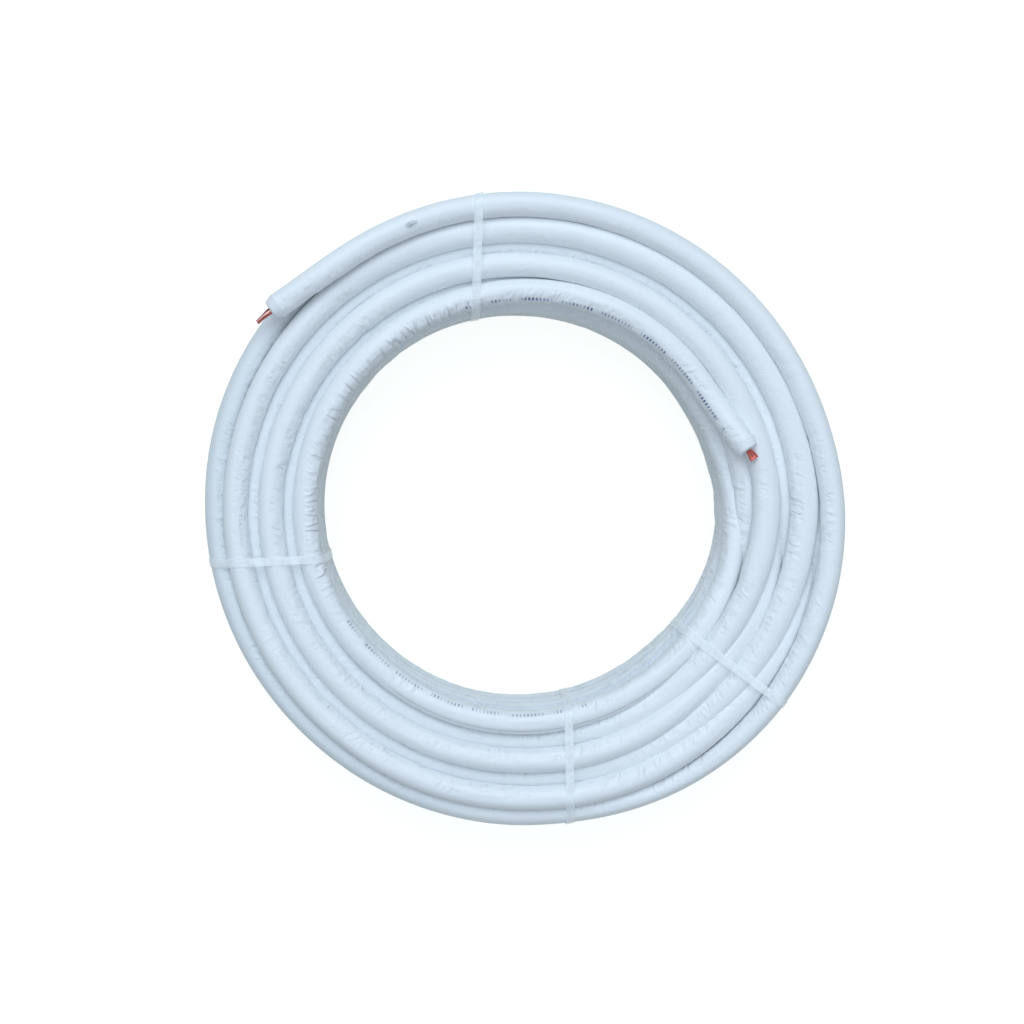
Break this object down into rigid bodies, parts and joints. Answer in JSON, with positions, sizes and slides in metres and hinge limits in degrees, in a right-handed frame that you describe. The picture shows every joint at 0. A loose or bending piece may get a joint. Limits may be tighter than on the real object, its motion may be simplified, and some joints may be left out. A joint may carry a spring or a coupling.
{
  "type": "insulated copper tube coil",
  "caption": "Flat-lying coil of small copper tube in a white foam sleeve, held by clear plastic straps, with two free ends of bare nipped copper.",
  "frame": {"origin": "on the coil's axis, on the floor that the coil lies on", "axes": "+Z along the coil's axis, upwards; +X towards the side where the inner free end is, to the right in the picture; +Y towards the top of the picture"},
  "size_m": [0.6264, 0.6264, 0.1423],
  "materials": {
    "sleeve_film": "soft satin film over foam, finely creased on the bent turns",
    "copper": "drawn copper, lightly tarnished",
    "strap": "translucent, smooth"
  },
  "bodies": {
    "root": {"sleeve": "sleeve_film", "copper_outer_end": "copper", "copper_inner_end": "copper", "strap_1": "strap", "strap_2": "strap", "strap_3": "strap", "strap_4": "strap"}
  },
  "joints": []
}
